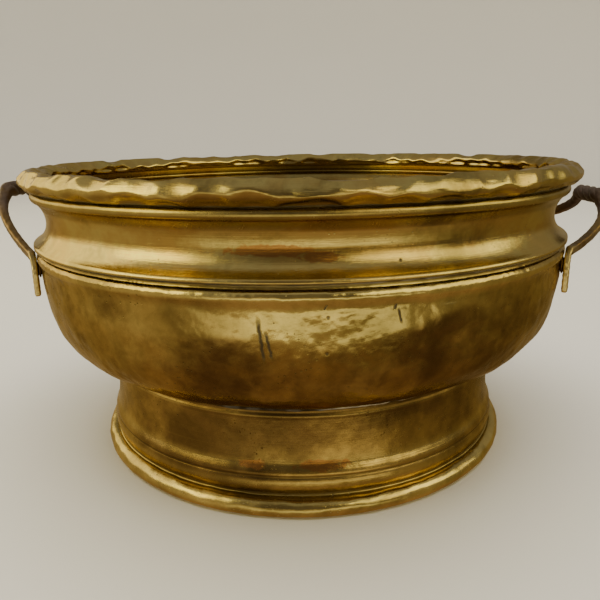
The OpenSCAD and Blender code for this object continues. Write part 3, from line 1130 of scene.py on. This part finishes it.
def room_light(w, strength):
    """Light of a warm room by direction: a brown table below, brighter to the
    left and in a band in front, and dim walls above."""
    back = [n for n in w.tree.nodes if n.type == "BACKGROUND"][0]
    p = w.node("ShaderNodeSeparateXYZ")
    w.feed(w.node("ShaderNodeTexCoord").outputs["Generated"], p.inputs[0])
    x, y, z = p.outputs
    azimuth = w.math("ARCTAN2", x, w.times(y, -1.0))
    table = w.mix(w.step(x, -0.9, 0.8), (0.50, 0.39, 0.20), (0.25, 0.19, 0.09))
    table = w.mix(w.step(z, -0.35, -0.9), table, (0.30, 0.19, 0.095))
    across_front = w.times(w.step(azimuth, -0.78, -0.60), w.step(azimuth, 0.92, 0.70))
    height = w.times(w.step(z, -0.46, -0.43), w.step(z, -0.14, -0.19))
    table = w.mix(w.times(across_front, height), table, (1.0, 0.88, 0.48))
    wall = w.mix(w.step(z, 0.2, 0.9), (0.27, 0.24, 0.18), (0.30, 0.28, 0.22))
    wall = w.mix(w.step(x, -0.2, -0.9), wall, (0.48, 0.42, 0.30))
    before = w.times(w.step(w.math("ABSOLUTE", azimuth), 0.52, 0.40), w.step(z, 0.78, 0.66))
    wall = w.mix(before, wall, (0.14, 0.115, 0.08))
    w.feed(w.mix(w.step(z, -0.02, 0.02), table, wall), back.inputs["Color"])
    back.inputs["Strength"].default_value = strength


class POT_OT_stage(bpy.types.Operator):
    """Pale floor swept up into a backdrop, soft lights and the camera"""

    bl_idname = "pot.stage"
    bl_label = "Make stage"

    def execute(self, context):
        s = context.scene.pot_stage
        bend = arc([1900, 700], 700, 700, -90, 0, 24)
        profile = np.concatenate([[[0.5, 0], [400, 0], [1200, 0]], bend, [[2600, 3400]]])
        turn = turned(96)
        r, z = profile[:, 0:1], profile[:, 1:2]
        points = np.stack([r * np.cos(turn), r * np.sin(turn), z + 0 * turn], -1)
        floor = put_mesh("floor", points.reshape(-1, 3),
                         [grid_faces(len(profile), 96, False, True)])
        floor.data.materials.append(plain_floor())
        floor.visible_glossy = False

        softbox("window_left", -60, 21, 1.5, 0.85, 0.75, s.window * 0.24, (1.0, 0.88, 0.26))
        softbox("window_side", -108, 22, 1.5, 1.6, 1.1, s.window * 0.32, (1.0, 0.86, 0.42))
        softbox("window_right", 62, 25, 1.6, 2.1, 0.95, s.fill * 0.72, (1.0, 0.87, 0.36))
        ceiling = softbox("ceiling", 0, 89, 2.3, 2.6, 2.6, s.ceiling, (1.0, 0.995, 0.97))
        ceiling.visible_glossy = False

        world = bpy.data.worlds.new("Room")
        context.scene.world = world
        world.use_nodes = True
        room_light(Wires(world.node_tree), s.world)

        data = bpy.data.cameras.new("camera")
        data.sensor_width = 36
        data.lens = 36
        data.shift_x = -0.0027
        camera = bpy.data.objects.new("camera", data)
        context.scene.collection.objects.link(camera)
        place_at = (s.distance * math.sin(s.azimuth), -s.distance * math.cos(s.azimuth), s.height)
        camera.matrix_world = (Matrix.Translation(place_at) @ Matrix.Rotation(s.azimuth, 4, "Z")
                               @ Matrix.Rotation(math.pi / 2 - s.pitch, 4, "X")
                               @ Matrix.Rotation(s.roll, 4, "Z"))
        context.scene.camera = camera
        return {"FINISHED"}


class POT_PT_panel(bpy.types.Panel):
    """Sidebar panel with the pot's settings and the buttons that build it"""

    bl_idname = "POT_PT_panel"
    bl_label = "Brass planter pot"
    bl_space_type = "VIEW_3D"
    bl_region_type = "UI"
    bl_category = "Planter"

    def draw(self, context):
        for group_name in SETTINGS:
            settings = getattr(context.scene, group_name)
            box = self.layout.box()
            for key in settings.__annotations__:
                box.prop(settings, key)
        for step in STEPS:
            self.layout.operator(step)


STEPS = ("pot.neck", "pot.bowl", "pot.foot", "pot.seams", "pot.handles", "pot.braze", "pot.stage")
SETTINGS = {"pot_sizes": PotSizes, "pot_handles": HandleSizes, "pot_metal": MetalColours,
            "pot_stage": StageSettings}
CLASSES = (*SETTINGS.values(), POT_OT_neck, POT_OT_bowl, POT_OT_foot, POT_OT_seams,
           POT_OT_handles, POT_OT_braze, POT_OT_stage, POT_PT_panel)


def register():
    for c in CLASSES:
        bpy.utils.register_class(c)
    for key, kind in SETTINGS.items():
        setattr(bpy.types.Scene, key, PointerProperty(type=kind))


def unregister():
    for key in SETTINGS:
        delattr(bpy.types.Scene, key)
    for c in reversed(CLASSES):
        bpy.utils.unregister_class(c)


def main():
    register()
    for step in STEPS:
        family, action = step.split(".")
        getattr(getattr(bpy.ops, family), action)()


if __name__ == "__main__":
    main()
